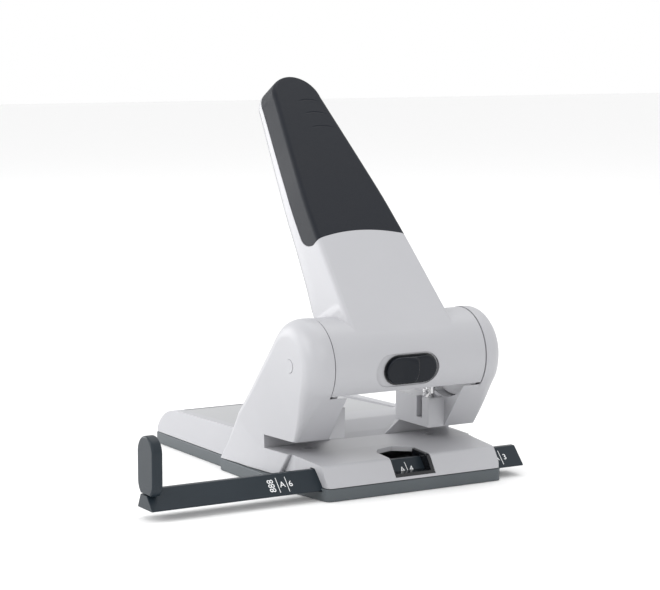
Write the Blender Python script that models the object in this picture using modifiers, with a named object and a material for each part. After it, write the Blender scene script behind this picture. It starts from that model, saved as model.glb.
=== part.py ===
"""Two-hole lever punch: a heavy desk punch with a tall handle over two arms.

Units are metres, +Z is up.  X = 0 is the plane of symmetry, Y = 0 is the line of
the two punch pins, Z = 0 is the surface that the punch stands on.  The handle leans
back towards +Y and is pressed down over the rear deck.
"""
import math

import bmesh
import bpy
from mathutils import Matrix, Vector

# ---------------------------------------------------------------- driving sizes
GAP = 0.0003                    # clearance between pieces that touch
RUN = 0.0004                    # running clearance round pieces that turn or slide
SKIM = 0.00005                  # a cut goes this far past the face it ends on

PIN_SPACING = 0.080             # between the two hole centres
PIN_RADIUS = 0.00275
THROAT_DEPTH = 0.012            # pin centre to the paper stop

PIVOT_Y = -0.0185               # handle axle, in front of the pins
PIVOT_Z = 0.0686
AXLE_RADIUS = 0.006
BARREL_RADIUS = 0.0246
BARREL_HALF = 0.0478            # half length of the barrel, along the axle
BARREL_WALL = 0.0026
CHEEK_THICK = 0.003             # the barrel's end walls

ARM_OUTER = 0.0616              # outer face of an arm
ARM_HEAD_RADIUS = 0.0265
ARM_LEAN_REAR = math.radians(40)
ARM_LEAN_FRONT = math.radians(31.4)
FOOT_INNER = 0.027              # inner face of a foot
FOOT_BOTTOM = 0.0270
FOOT_FRONT = -0.018
COLUMN_TOP = 0.0430

TABLE_TOP = 0.0196
TABLE_FRONT = -0.048
TABLE_HALF = 0.0597
CREST_Y = -0.0405
CREST_Z = 0.0178
CREST_HALF = 0.0548
TABLE_WALL = 0.0025

BODY_BOTTOM = 0.0070            # lower edge of the grey body, above the tray
TRAY_HEIGHT = 0.0066
TRAY_FLOOR = 0.0022
TRAY_WALL = 0.0022
TRAY_LIP = 0.0005               # the tray's rear edge stands out this far behind the deck
DECK_HALF = 0.0602
DECK_REAR = 0.146
DECK_FRONT_TOP = 0.0252
DECK_REAR_TOP = 0.0212
ARM_REAR = 0.056                # where the arms end and the rear deck begins
ARM_SOLE = BODY_BOTTOM - 0.006  # the arms are drawn this low, then cut flat
ARM_FLARE = 0.003               # the arms' lower ends stand out this much more

HANDLE_LENGTH = 0.184           # axle centre to the tip, along the handle
HANDLE_ROOT = 0.012             # where the handle body begins, up from the axle centre
HANDLE_LEAN = math.radians(43.3)    # from the vertical
HANDLE_ROOT_HALF = 0.0355       # half width at the back, near the barrel
HANDLE_TIP_HALF = 0.0175
HANDLE_DRAFT = 0.005            # each side narrows this much towards the front
HANDLE_TIP_DEPTH = 0.0155
HANDLE_WALL = 0.0024
HANDLE_SWING = math.radians(50)
GRIP_START = 0.066              # lower edge of the grip, from the axle
GRIP_THICK = 0.0022
GRIP_DEPTH = 0.0125             # how far the grip wraps down the sides
COVER_THICK = 0.0020            # the plate that closes the handle's back
COVER_ROOM = 0.0016             # all round it, inside the handle

BAR_LEFT = -0.1545
BAR_RIGHT = 0.0741
BAR_FRONT = -0.0431
BAR_REAR = -0.0255
BAR_BOTTOM = 0.0052
BAR_TOP = 0.0153
PADDLE_THICK = 0.006
PADDLE_WIDTH = 0.0173
PADDLE_LOW = 0.0128
PADDLE_TOP = 0.0430

BUTTON_LENGTH = 0.0315
BUTTON_HEIGHT = 0.0150
BUTTON_TRAVEL = 0.005
BUTTON_ANGLE = math.radians(-8)     # round the barrel, from straight ahead
BOLT_RADIUS = 0.0020
BOLT_ROOM = 0.0035              # between the bolt and the inside of the barrel
BOLT_OFFSET = BARREL_RADIUS - BARREL_WALL - BOLT_RADIUS - BOLT_ROOM    # from the axle centre

LEVER_HUB = 0.0105
LEVER_HALF = 0.004
LEVER_REACH = 0.0245
LEVER_UNDER = 0.005             # the pressing face lies this far under the axle's centre
PIN_TIP = FOOT_BOTTOM + 0.0010
PIN_TOP = 0.0655
PIN_HEAD = 0.0040

PIVOT = Vector((0.0, PIVOT_Y, PIVOT_Z))
UP_HANDLE = Vector((0.0, math.sin(HANDLE_LEAN), math.cos(HANDLE_LEAN)))
OUT_HANDLE = Vector((0.0, -math.cos(HANDLE_LEAN), math.sin(HANDLE_LEAN)))
SIDES = (("left", -1.0), ("right", 1.0))


# ---------------------------------------------------------------- scene and helpers
for old in list(bpy.data.objects):
    bpy.data.objects.remove(old, do_unlink=True)

PARTS = bpy.data.collections.new("hole_punch")
CUTTERS = bpy.data.collections.new("cutters")
bpy.context.scene.collection.children.link(PARTS)
bpy.context.scene.collection.children.link(CUTTERS)


def material(name, colour, roughness, metallic=0.0):
    made = bpy.data.materials.new(name)
    made.use_nodes = True
    shader = made.node_tree.nodes["Principled BSDF"]
    shader.inputs["Base Color"].default_value = (*colour, 1.0)
    shader.inputs["Roughness"].default_value = roughness
    shader.inputs["Metallic"].default_value = metallic
    return made


LIGHT_GREY = material("light_grey_lacquer", (0.60, 0.60, 0.62), 0.45)
DARK_PLASTIC = material("dark_plastic", (0.085, 0.10, 0.11), 0.5)
GRIP_RUBBER = material("grip_plastic", (0.036, 0.041, 0.052), 0.55)
BAR_PLASTIC = material("bar_plastic", (0.030, 0.040, 0.050), 0.45)
BRIGHT_STEEL = material("bright_steel", (0.62, 0.62, 0.63), 0.25, 1.0)
SPRING_STEEL = material("spring_steel", (0.35, 0.35, 0.37), 0.35, 1.0)
CLEAR = material("clear_plastic", (0.05, 0.06, 0.07), 0.1)
PAD_RUBBER = material("pad_rubber", (0.02, 0.02, 0.02), 0.9)


def face_out(shape):
    """Turn every face outwards, whichever way round the outline was drawn."""
    bmesh.ops.recalc_face_normals(shape, faces=shape.faces)
    if shape.calc_volume(signed=True) < 0:
        bmesh.ops.reverse_faces(shape, faces=shape.faces)


def mesh_object(name, mesh, collection=PARTS):
    made = bpy.data.objects.new(name, mesh)
    collection.objects.link(made)
    return made


def finish(obj, surface, parent=None):
    obj.data.materials.clear()
    obj.data.materials.append(surface)
    obj.data.shade_smooth()
    obj.data.set_sharp_from_angle(angle=math.radians(35))
    if parent is not None:
        obj.parent = parent
        obj.matrix_parent_inverse = parent.matrix_world.inverted()
    return obj


def box(name, low, high, collection=PARTS):
    mesh = bpy.data.meshes.new(name)
    shape = bmesh.new()
    bmesh.ops.create_cube(shape, size=1.0)
    size = Vector(high) - Vector(low)
    for vert in shape.verts:
        vert.co = Vector(low) + Vector(((vert.co[i] + 0.5) * size[i] for i in range(3)))
    shape.to_mesh(mesh)
    shape.free()
    return mesh_object(name, mesh, collection)


AXIS_TURN = {
    "X": Matrix.Rotation(math.pi / 2, 4, "Y"),
    "Y": Matrix.Rotation(-math.pi / 2, 4, "X"),
    "Z": Matrix.Identity(4),
}


def rod(name, axis, centre, radius, length, sides=32, collection=PARTS, tip=None):
    """A cylinder, or a cone when tip gives the radius at its far end."""
    mesh = bpy.data.meshes.new(name)
    shape = bmesh.new()
    bmesh.ops.create_cone(shape, cap_ends=True, segments=sides, radius1=radius,
                          radius2=radius if tip is None else tip, depth=length)
    shape.transform(Matrix.Translation(Vector(centre)) @ AXIS_TURN[axis])
    shape.to_mesh(mesh)
    shape.free()
    return mesh_object(name, mesh, collection)


def prism(name, outline, frame, low, high, collection=PARTS):
    """A flat outline, filled and extruded from low to high along the frame's Z."""
    curve = bpy.data.curves.new(name, "CURVE")
    curve.dimensions = "2D"
    curve.fill_mode = "BOTH"
    curve.extrude = (high - low) / 2
    spline = curve.splines.new("POLY")
    spline.points.add(len(outline) - 1)
    for point, (u, v) in zip(spline.points, outline):
        point.co = (u, v, 0.0, 1.0)
    spline.use_cyclic_u = True
    drawn = bpy.data.objects.new(name + "_outline", curve)
    CUTTERS.objects.link(drawn)
    bpy.context.view_layer.update()
    evaluated = drawn.evaluated_get(bpy.context.evaluated_depsgraph_get())
    mesh = bpy.data.meshes.new_from_object(evaluated)
    bpy.data.objects.remove(drawn, do_unlink=True)
    mesh.name = name
    shape = bmesh.new()
    shape.from_mesh(mesh)
    bmesh.ops.remove_doubles(shape, verts=shape.verts, dist=0.000005)
    bmesh.ops.dissolve_limit(shape, angle_limit=0.001, verts=shape.verts, edges=shape.edges)
    shape.transform(frame @ Matrix.Translation((0.0, 0.0, (low + high) / 2)))
    face_out(shape)
    shape.to_mesh(mesh)
    shape.free()
    return mesh_object(name, mesh, collection)


# outline planes: a side view (u = Y, v = Z, along X) and a plan (u = X, v = Y, along Z)
SIDE_VIEW = Matrix(((0, 0, 1, 0), (1, 0, 0, 0), (0, 1, 0, 0), (0, 0, 0, 1)))
PLAN = Matrix.Identity(4)


def handle_plane():
    """u across the handle, v up along it from the axle, w out of its front face."""
    turn = Matrix.Identity(4)
    columns = (Vector((1.0, 0.0, 0.0)), UP_HANDLE, OUT_HANDLE)
    for column, direction in enumerate(columns):
        for row in range(3):
            turn[row][column] = direction[row]
    return Matrix.Translation(PIVOT) @ turn


def arc(centre, radius, start, end, steps):
    """Points on a circle from one angle to another, in degrees."""
    points = []
    for step in range(steps + 1):
        angle = math.radians(start + (end - start) * step / steps)
        points.append((centre[0] + radius * math.cos(angle),
                       centre[1] + radius * math.sin(angle)))
    return points


def stadium(centre, half_length, half_width, steps=8):
    """A round-ended slot outline, long along u."""
    run = half_length - half_width
    right = arc((centre[0] + run, centre[1]), half_width, -90, 90, steps)
    left = arc((centre[0] - run, centre[1]), half_width, 90, 270, steps)
    return right + left


def guide(obj):
    """Mark an object as a cutter: it is not a piece of the punch."""
    obj.hide_render = True
    obj.display_type = "WIRE"
    if obj.name in PARTS.objects:
        PARTS.objects.unlink(obj)
        CUTTERS.objects.link(obj)
    return obj


def boolean(obj, other, operation, solver="EXACT"):
    change = obj.modifiers.new(operation.lower() + "_" + other.name, "BOOLEAN")
    change.operation = operation
    change.solver = solver
    change.object = guide(other)


def cut(obj, *others):
    for other in others:
        boolean(obj, other, "DIFFERENCE")


def join(obj, *others):
    for other in others:
        boolean(obj, other, "UNION")


def round_edges(obj, width, segments=3, angle=30.0):
    bevel = obj.modifiers.new("rounded_edges", "BEVEL")
    bevel.width = width
    bevel.segments = segments
    bevel.limit_method = "ANGLE"
    bevel.angle_limit = math.radians(angle)
    bevel.use_clamp_overlap = True
    return bevel


def round_rim(obj, width, side_x, segments=3):
    """Rounds the outline's edges that lie outside side_x, to the left or right."""
    weights = obj.data.attributes.new("bevel_weight_edge", "FLOAT", "EDGE")
    for edge in obj.data.edges:
        ends = [abs(obj.data.vertices[i].co.x) for i in edge.vertices]
        weights.data[edge.index].value = 1.0 if min(ends) > side_x else 0.0
    rounding = obj.modifiers.new("round_rim", "BEVEL")
    rounding.limit_method = "WEIGHT"
    rounding.width = width
    rounding.segments = segments


def coil(name, axis, centre, radius, wire, length, turns, surface, parent=None):
    """A close helical spring with its middle at centre."""
    curve = bpy.data.curves.new(name, "CURVE")
    curve.dimensions = "3D"
    curve.bevel_depth = wire / 2
    curve.bevel_resolution = 1
    curve.use_fill_caps = True
    steps = int(turns * 10)
    spline = curve.splines.new("POLY")
    spline.points.add(steps)
    turn = Matrix.Translation(Vector(centre)) @ AXIS_TURN[axis]
    for step, point in enumerate(spline.points):
        angle = 2 * math.pi * turns * step / steps
        along = length * (step / steps - 0.5)
        place = turn @ Vector((radius * math.cos(angle), radius * math.sin(angle), along))
        point.co = (*place, 1.0)
    drawn = bpy.data.objects.new(name + "_wire", curve)
    CUTTERS.objects.link(drawn)
    bpy.context.view_layer.update()
    evaluated = drawn.evaluated_get(bpy.context.evaluated_depsgraph_get())
    mesh = bpy.data.meshes.new_from_object(evaluated)
    bpy.data.objects.remove(drawn, do_unlink=True)
    shape = bmesh.new()
    shape.from_mesh(mesh)
    bmesh.ops.remove_doubles(shape, verts=shape.verts, dist=0.000001)
    face_out(shape)
    shape.to_mesh(mesh)
    shape.free()
    return finish(mesh_object(name, mesh), surface, parent)


def pivot_empty(name, place):
    made = bpy.data.objects.new(name, None)
    made.location = place
    PARTS.objects.link(made)
    bpy.context.view_layer.update()
    return made


HANDLE_AXIS = pivot_empty("handle_axis", PIVOT)
BAR_AXIS = pivot_empty("guide_bar_axis", (0.0, (BAR_FRONT + BAR_REAR) / 2, BAR_BOTTOM))
TRAY_AXIS = pivot_empty("tray_hinge_axis", (0.0, DECK_REAR + TRAY_LIP, TRAY_HEIGHT))
LOCK_AXIS = pivot_empty("lock_axis", PIVOT + Vector((0.0, -math.cos(BUTTON_ANGLE),
                                                     math.sin(BUTTON_ANGLE))) * BARREL_RADIUS)
PIN_AXES = {side: pivot_empty("pin_axis_" + side, (sign * PIN_SPACING / 2, 0.0, FOOT_BOTTOM))
            for side, sign in SIDES}


# ---------------------------------------------------------------- arms and feet
def arm_outline():
    """Side view of an arm: round head on the axle, leaning neck, foot and lower end."""
    head = (PIVOT_Y, PIVOT_Z)
    rear = math.degrees(ARM_LEAN_REAR)
    front = 180 + math.degrees(ARM_LEAN_FRONT)
    rear_touch = arc(head, ARM_HEAD_RADIUS, rear, rear, 1)[0]
    front_touch = arc(head, ARM_HEAD_RADIUS, front, front, 1)[0]
    neck_drop = rear_touch[1] - 0.042
    neck_end = (rear_touch[0] + neck_drop * math.tan(ARM_LEAN_REAR), 0.042)
    toe = front_touch[0] + (front_touch[1] - FOOT_BOTTOM) * math.tan(ARM_LEAN_FRONT)
    outline = [(ARM_REAR, ARM_SOLE), (ARM_REAR, DECK_FRONT_TOP - 0.002),
               (ARM_REAR - 0.006, 0.0325), neck_end]
    outline += arc(head, ARM_HEAD_RADIUS, rear, front, 22)
    outline += [(toe, FOOT_BOTTOM), (THROAT_DEPTH, FOOT_BOTTOM - 0.0004),
                (THROAT_DEPTH, ARM_SOLE)]
    return outline


def foot_outline():
    """The foot, from its sloping front wall back to the riser behind the throat."""
    toe = FOOT_FRONT - 0.005
    riser = THROAT_DEPTH + 0.0008
    slope = math.tan(ARM_LEAN_FRONT)
    shoulder = 0.0535
    return [(toe, FOOT_BOTTOM), (toe - (shoulder - FOOT_BOTTOM) * slope, shoulder),
            (-0.030, shoulder), (-0.022, 0.046), (0.010, 0.046), (0.016, 0.040),
            (0.016, ARM_SOLE), (riser, ARM_SOLE), (riser, FOOT_BOTTOM)]


def plate_rooms(name):
    """Cutters that leave room for the base plate, from the underside up."""
    return (box(name + "_plate_room", (-PLATE_HALF - GAP, PLATE_FRONT - GAP, 0.0),
                (PLATE_HALF + GAP, PLATE_REAR + GAP, PLATE_TOP + GAP)),
            box(name + "_tongue_room", (-TONGUE_HALF - GAP, TONGUE_FRONT - GAP, 0.0),
                (TONGUE_HALF + GAP, PLATE_FRONT + 0.001, PLATE_TOP + GAP)))


def build_arm(side, sign):
    inner = BARREL_HALF + RUN
    name = side + "_arm"

    def span(a, b):
        return (a, b) if sign > 0 else (-b, -a)

    arm = prism(name, arm_outline(), SIDE_VIEW, *span(inner, ARM_OUTER))
    round_rim(arm, 0.006, inner + 0.001, 4)
    for vert in arm.data.vertices:
        outward = (abs(vert.co.x) - inner) / (ARM_OUTER - inner)
        below = (PIVOT_Z - vert.co.z) / (PIVOT_Z - BODY_BOTTOM)
        vert.co.x += sign * ARM_FLARE * outward * below
    foot = prism(name + "_foot", foot_outline(), SIDE_VIEW, *span(0.037, inner + 0.002))
    block = box(name + "_block", (span(FOOT_INNER, 0.0375)[0], FOOT_FRONT, FOOT_BOTTOM),
                (span(FOOT_INNER, 0.0375)[1], 0.016, COLUMN_TOP))
    join(arm, foot, block)
    sweep = rod(name + "_barrel_room", "X", (sign * (inner + SKIM) / 2, PIVOT_Y, PIVOT_Z),
                BARREL_RADIUS + RUN, inner + SKIM, 64)
    bore = rod(name + "_axle_bore", "X", (sign * (inner + 0.0575) / 2, PIVOT_Y, PIVOT_Z),
               AXLE_RADIUS + GAP, 0.0575 - inner + 0.0002, 32)
    cap_hole = rod(name + "_cap_hole", "X", (sign * 0.060, PIVOT_Y, PIVOT_Z), 0.0038, 0.008, 24)
    pin_bore = rod(name + "_bush_bore", "Z", (sign * PIN_SPACING / 2, 0.0, 0.038),
                   BUSH_RADIUS + GAP, 0.040, 32)
    slot = box(name + "_slot", (span(FOOT_INNER - 0.001, FOOT_INNER + 0.003)[0], -0.010, 0.0325),
               (span(FOOT_INNER - 0.001, FOOT_INNER + 0.003)[1], -0.0065, 0.0440))
    stud_hole = rod(name + "_stud_hole", "Z", (sign * STUD_X, STUD_Y, COLUMN_TOP),
                    STUD_RADIUS + GAP, 0.016, 24)
    ground = box(name + "_ground", (span(0.030, 0.075)[0], -0.060, -0.010),
                 (span(0.030, 0.075)[1], 0.080, BODY_BOTTOM))
    cut(arm, ground, sweep, bore, cap_hole, pin_bore, slot, stud_hole, *plate_rooms(name))
    for number, (x, y) in enumerate(SCREW_PLACES):
        if x * sign > 0:
            cut(arm, rod(name + "_screw_hole_%d" % number, "Z", (x, y, 0.010),
                         SCREW_RADIUS + GAP, 0.018, 16))
    finish(arm, LIGHT_GREY)


BUSH_RADIUS = 0.0045
PLATE_TOP = 0.0092
PLATE_BOTTOM = 0.0072
PLATE_HALF = 0.0585
PLATE_FRONT = 0.0148
PLATE_REAR = ARM_REAR - 0.002
TONGUE_HALF = 0.050
TONGUE_FRONT = -0.020
STUD_X = 0.0322
STUD_Y = -0.013
STUD_RADIUS = 0.0016
SCREW_RADIUS = 0.0020
SCREW_PLACES = [(sign * 0.0535, y) for _, sign in SIDES for y in (0.020, 0.048)]

for arm_side, arm_sign in SIDES:
    build_arm(arm_side, arm_sign)


# ---------------------------------------------------------------- table and deck
def table_plan(inset=0.0, rear=THROAT_DEPTH - GAP):
    step = -0.014
    half = [(TABLE_HALF, rear), (TABLE_HALF, step), (TABLE_HALF - 0.0025, step - 0.0015),
            (CREST_HALF, CREST_Y), (CREST_HALF + 0.0006, TABLE_FRONT)]
    right = [(x - inset, y) for x, y in half]
    right[-1] = (right[-1][0], TABLE_FRONT + inset)
    right[0] = (right[0][0], rear - inset)
    return right + [(-x, y) for x, y in reversed(right)]


def table_profile(lower=0.0):
    """Side view of the table: flat top, crest and the sloping apron."""
    return [(TABLE_FRONT + lower, BODY_BOTTOM - lower), (CREST_Y + lower * 0.7, CREST_Z - lower),
            (-0.004, TABLE_TOP - lower), (0.030, TABLE_TOP - lower), (0.030, BODY_BOTTOM - lower)]


def bar_profile(room=0.0):
    """Wedge section of the guide bar; room widens it to the channel it runs in."""
    return [(BAR_FRONT - room, BAR_BOTTOM - room), (BAR_REAR + room, BAR_BOTTOM - room),
            (BAR_REAR - 0.005 + room, BAR_TOP + room), (-0.0338 - room, BAR_TOP + room)]


def build_table():
    table = prism("table_plate", table_plan(), PLAN, BODY_BOTTOM, 0.030)
    boolean(table, prism("table_shape", table_profile(), SIDE_VIEW, -0.08, 0.08), "INTERSECT")
    hollow = prism("table_hollow", table_plan(TABLE_WALL), PLAN, 0.0, 0.0285)
    boolean(hollow, prism("table_hollow_shape", table_profile(TABLE_WALL), SIDE_VIEW,
                          -0.08, 0.08), "INTERSECT")
    bar_room = prism("table_bar_room", bar_profile(RUN), SIDE_VIEW, -0.08, 0.08)
    window = prism("window_hole", [(-0.0125, -0.060), (0.0125, -0.060), (0.0125, -0.024),
                                   (0.001, -0.0185), (-0.0085, -0.0215), (-0.0125, -0.027)],
                   PLAN, 0.0085, 0.030)
    cut(table, hollow, bar_room, window, *plate_rooms("table"))
    for side, sign in SIDES:
        boss = rod("die_boss_" + side, "Z", (sign * PIN_SPACING / 2, 0.0, 0.0145),
                   DIE_RADIUS + 0.002, 0.0095, 32)
        join(table, boss)
        cut(table, rod("die_seat_" + side, "Z", (sign * PIN_SPACING / 2, 0.0, 0.015),
                       DIE_RADIUS + GAP, 0.020, 32))
    finish(table, LIGHT_GREY)


def deck_profile(lower=0.0):
    front = THROAT_DEPTH + GAP
    rear = DECK_REAR - lower
    return [(front + lower, BODY_BOTTOM - lower), (front + lower, TABLE_TOP - lower),
            (0.034, DECK_FRONT_TOP + 0.0004 - lower), (rear - 0.014, DECK_REAR_TOP - lower),
            (rear - 0.0065, DECK_REAR_TOP - 0.0025 - lower), (rear - 0.002, 0.0135 - lower),
            (rear, BODY_BOTTOM - lower)]


def deck_plan(inset=0.0):
    throat = FOOT_INNER - GAP - inset
    neck = BARREL_HALF + RUN - GAP - inset
    half = DECK_HALF - inset
    rear = DECK_REAR + 0.002 - inset
    right = [(throat, 0.0), (throat, 0.016 + GAP + inset), (neck, 0.016 + GAP + inset),
             (neck, ARM_REAR + GAP + inset), (half, ARM_REAR + GAP + inset),
             (half, rear - 0.010), (half - 0.003, rear - 0.003), (half - 0.010, rear)]
    return right + [(-x, y) for x, y in reversed(right)]


def build_deck():
    deck = prism("rear_cover", deck_plan(), PLAN, BODY_BOTTOM, 0.040)
    boolean(deck, prism("deck_shape", deck_profile(), SIDE_VIEW, -0.08, 0.08), "INTERSECT")
    hollow = prism("deck_hollow", deck_plan(TABLE_WALL), PLAN, 0.0, 0.038)
    boolean(hollow, prism("deck_hollow_shape", deck_profile(TABLE_WALL), SIDE_VIEW,
                          -0.08, 0.08), "INTERSECT")
    tray_tilt = math.atan((DECK_FRONT_TOP - DECK_REAR_TOP) / (DECK_REAR - 0.048))
    recess = box("deck_recess", (-0.054, -0.036, -0.0009), (0.054, 0.036, 0.020))
    recess.location = (0.0, 0.093, (DECK_FRONT_TOP + DECK_REAR_TOP) / 2 + 0.0001)
    recess.rotation_euler = (-tray_tilt, 0.0, 0.0)
    cut(deck, hollow, recess, *plate_rooms("deck"))
    finish(deck, LIGHT_GREY)


DIE_RADIUS = 0.0047
build_table()
build_deck()


def ring(name, centre, outer, inner, low, high, surface):
    """A turned bush or die, run from its outer top edge down and back up the bore."""
    mesh = bpy.data.meshes.new(name)
    shape = bmesh.new()
    profile = [(outer, high - 0.0003), (outer, low), (inner, low), (inner, high - 0.0003),
               (inner + 0.0004, high), (outer - 0.0003, high)]
    verts = [shape.verts.new((x, 0.0, z)) for x, z in profile]
    for here, there in zip(verts, verts[1:] + verts[:1]):
        shape.edges.new((here, there))
    shape.to_mesh(mesh)
    shape.free()
    made = mesh_object(name, mesh)
    made.location = centre
    screw = made.modifiers.new("turned", "SCREW")
    screw.steps = 32
    screw.render_steps = 32
    screw.use_merge_vertices = True
    screw.merge_threshold = 0.000001
    return finish(made, surface)


for ring_side, ring_sign in SIDES:
    place = (ring_sign * PIN_SPACING / 2, 0.0, 0.0)
    ring("die_" + ring_side, place, DIE_RADIUS, PIN_RADIUS + 0.0001, 0.0100, TABLE_TOP,
         BRIGHT_STEEL)
    ring("pin_bush_" + ring_side, place, BUSH_RADIUS, PIN_RADIUS + 0.0001, FOOT_BOTTOM,
         0.0455, BRIGHT_STEEL)


# ---------------------------------------------------------------- base plate, screws, axle
def build_base():
    plate = box("base_plate", (-PLATE_HALF, PLATE_FRONT, PLATE_BOTTOM),
                (PLATE_HALF, PLATE_REAR, PLATE_TOP))
    join(plate, box("base_plate_tongue", (-TONGUE_HALF, TONGUE_FRONT, PLATE_BOTTOM),
                    (TONGUE_HALF, PLATE_FRONT + 0.0005, PLATE_TOP)))
    for side, sign in SIDES:
        cut(plate, rod("chip_hole_" + side, "Z", (sign * PIN_SPACING / 2, 0.0, 0.008),
                       0.0042, 0.008, 24))
    for number, (x, y) in enumerate(SCREW_PLACES):
        cut(plate, rod("plate_screw_hole_%d" % number, "Z", (x, y, 0.008),
                       SCREW_RADIUS + GAP, 0.008, 16))
    finish(plate, BRIGHT_STEEL)

    for number, (x, y) in enumerate(SCREW_PLACES):
        screw = rod("frame_screw_%d" % (number + 1), "Z", (x, y, 0.0121), SCREW_RADIUS,
                    0.0114, 16)
        join(screw, rod("screw_head_%d" % number, "Z", (x, y, 0.0061), 0.0036, 0.0016, 16))
        finish(screw, BRIGHT_STEEL)

    axle = rod("axle", "X", (0.0, PIVOT_Y, PIVOT_Z), AXLE_RADIUS, 0.114, 32)
    round_edges(axle, 0.0006, 1, 60)
    finish(axle, BRIGHT_STEEL)
    for side, sign in SIDES:
        cap = rod("axle_cap_" + side, "X", (sign * 0.0597, PIVOT_Y, PIVOT_Z), 0.0035, 0.0042, 24)
        finish(cap, LIGHT_GREY)
        stud = rod("stop_stud_" + side, "Z", (sign * STUD_X, STUD_Y, 0.0424),
                   STUD_RADIUS, 0.0140, 16)
        join(stud, rod("stud_collar_" + side, "Z", (sign * STUD_X, STUD_Y, COLUMN_TOP + 0.0014),
                       0.0034, 0.0020, 20, tip=0.0016))
        finish(stud, BRIGHT_STEEL)


build_base()


# ---------------------------------------------------------------- chip tray
def tray_plan(inset=0.0):
    flare = ARM_OUTER + ARM_FLARE - inset
    rear = DECK_REAR + TRAY_LIP - inset
    half = DECK_HALF - inset
    right = [(CREST_HALF + 0.0006 - inset, TABLE_FRONT + inset), (TABLE_HALF - inset, -0.020),
             (flare, -0.008), (flare, ARM_REAR - inset), (half, ARM_REAR - inset),
             (half, rear - 0.010), (half - 0.003, rear - 0.003), (half - 0.010, rear)]
    return right + [(-x, y) for x, y in reversed(right)]


PAD_PLACES = [(sign * x, y) for _, sign in SIDES for x, y in ((0.044, -0.020), (0.048, 0.128))]
PAD_RADIUS = 0.0075
PAD_DEPTH = 0.0011


def build_tray():
    tray = prism("chip_tray", tray_plan(), PLAN, 0.0, TRAY_HEIGHT)
    cut(tray, prism("tray_hollow", tray_plan(TRAY_WALL), PLAN, TRAY_FLOOR, 0.020),
        prism("tray_bar_room", bar_profile(RUN), SIDE_VIEW, -0.08, 0.08))
    for number, (x, y) in enumerate(PAD_PLACES):
        cut(tray, rod("pad_pocket_%d" % number, "Z", (x, y, 0.0), PAD_RADIUS + GAP,
                      2 * (PAD_DEPTH + GAP), 24))
        pad = rod("antislip_pad_%d" % (number + 1), "Z", (x, y, PAD_DEPTH / 2), PAD_RADIUS,
                  PAD_DEPTH, 24)
        finish(pad, PAD_RUBBER, TRAY_AXIS)
    finish(tray, DARK_PLASTIC, TRAY_AXIS)


build_tray()


# ---------------------------------------------------------------- handle
def handle_half_width(v):
    """Half width of the handle's back edge at v along the handle."""
    knee = 0.060
    knee_half = HANDLE_ROOT_HALF - 0.0022
    if v < knee:
        return HANDLE_ROOT_HALF + (knee_half - HANDLE_ROOT_HALF) * v / knee
    return knee_half + (HANDLE_TIP_HALF - knee_half) * (v - knee) / (HANDLE_LENGTH - 0.012 - knee)


def handle_back(v):
    """Distance of the handle's back face from the axle, out of the front face."""
    tip = BARREL_RADIUS - HANDLE_TIP_DEPTH
    if v > 0.073:
        return tip - (HANDLE_LENGTH - v) * 0.035
    return tip - (HANDLE_LENGTH - 0.073) * 0.035 - (0.073 - v) * 0.16


def beam(name, low_v, inset, front, drop, thick=None):
    """The tapering handle body: an outline with a round tip, narrower at its front.

    inset draws it in all round, drop moves its back face back, and thick makes a plate
    of that thickness on the back face instead of a body that reaches to front.
    """
    tip_v = HANDLE_LENGTH - inset
    stagger = inset * 0.1       # keeps the rungs of nested bodies off each other
    shoulder = HANDLE_LENGTH - 0.017 + stagger
    stations = [low_v] + [v + stagger for v in (0.060, 0.073, 0.110, 0.145) if v > low_v]
    stations.append(shoulder)
    side = [(handle_half_width(v) - inset, v) for v in stations]
    reach = side[-1][0]
    for degrees in (22, 44, 66, 82):
        angle = math.radians(degrees)
        side.append((reach * math.cos(angle) ** 0.75,
                     shoulder + (tip_v - shoulder) * math.sin(angle)))
    outline = side + [(-u, v) for u, v in reversed(side)]
    shape = prism(name, outline, PLAN, 0.0, 1.0)
    rungs = bmesh.new()
    rungs.from_mesh(shape.data)
    for station in [v for _, v in side[1:]]:
        bmesh.ops.bisect_plane(rungs, geom=rungs.verts[:] + rungs.edges[:] + rungs.faces[:],
                               dist=0.00001, plane_co=(0.0, station, 0.0),
                               plane_no=(0.0, 1.0, 0.0))
    rungs.to_mesh(shape.data)
    rungs.free()
    turn = handle_plane()
    for vert in shape.data.vertices:
        u, v, level = vert.co
        back = handle_back(v)
        w = back - drop
        if level > 0.5:
            w = front if thick is None else back + thick
        taper = HANDLE_DRAFT * (w - back) / (BARREL_RADIUS - back)
        u = math.copysign(abs(u) - taper * min(1.0, abs(u) / 0.012), u)
        if v > shoulder:
            v -= 0.003 * (w - back) / (BARREL_RADIUS - back)
        vert.co = turn @ Vector((u, v, w))
    return shape


def grip_zone(name, low_v, low_w, high_w):
    """The volume that the grip covers: above an arched lower edge."""
    arch = [(x, low_v + 0.0045 * (1 - (x / 0.028) ** 2)) for x in
            (0.050, 0.028, 0.020, 0.010, 0.0, -0.010, -0.020, -0.028, -0.050)]
    beyond = HANDLE_LENGTH + 0.036
    return prism(name, [(0.050, beyond), (-0.050, beyond)] + [(x, max(v, low_v - 0.001))
                 for x, v in reversed(arch)], handle_plane(), low_w, high_w)


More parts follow.
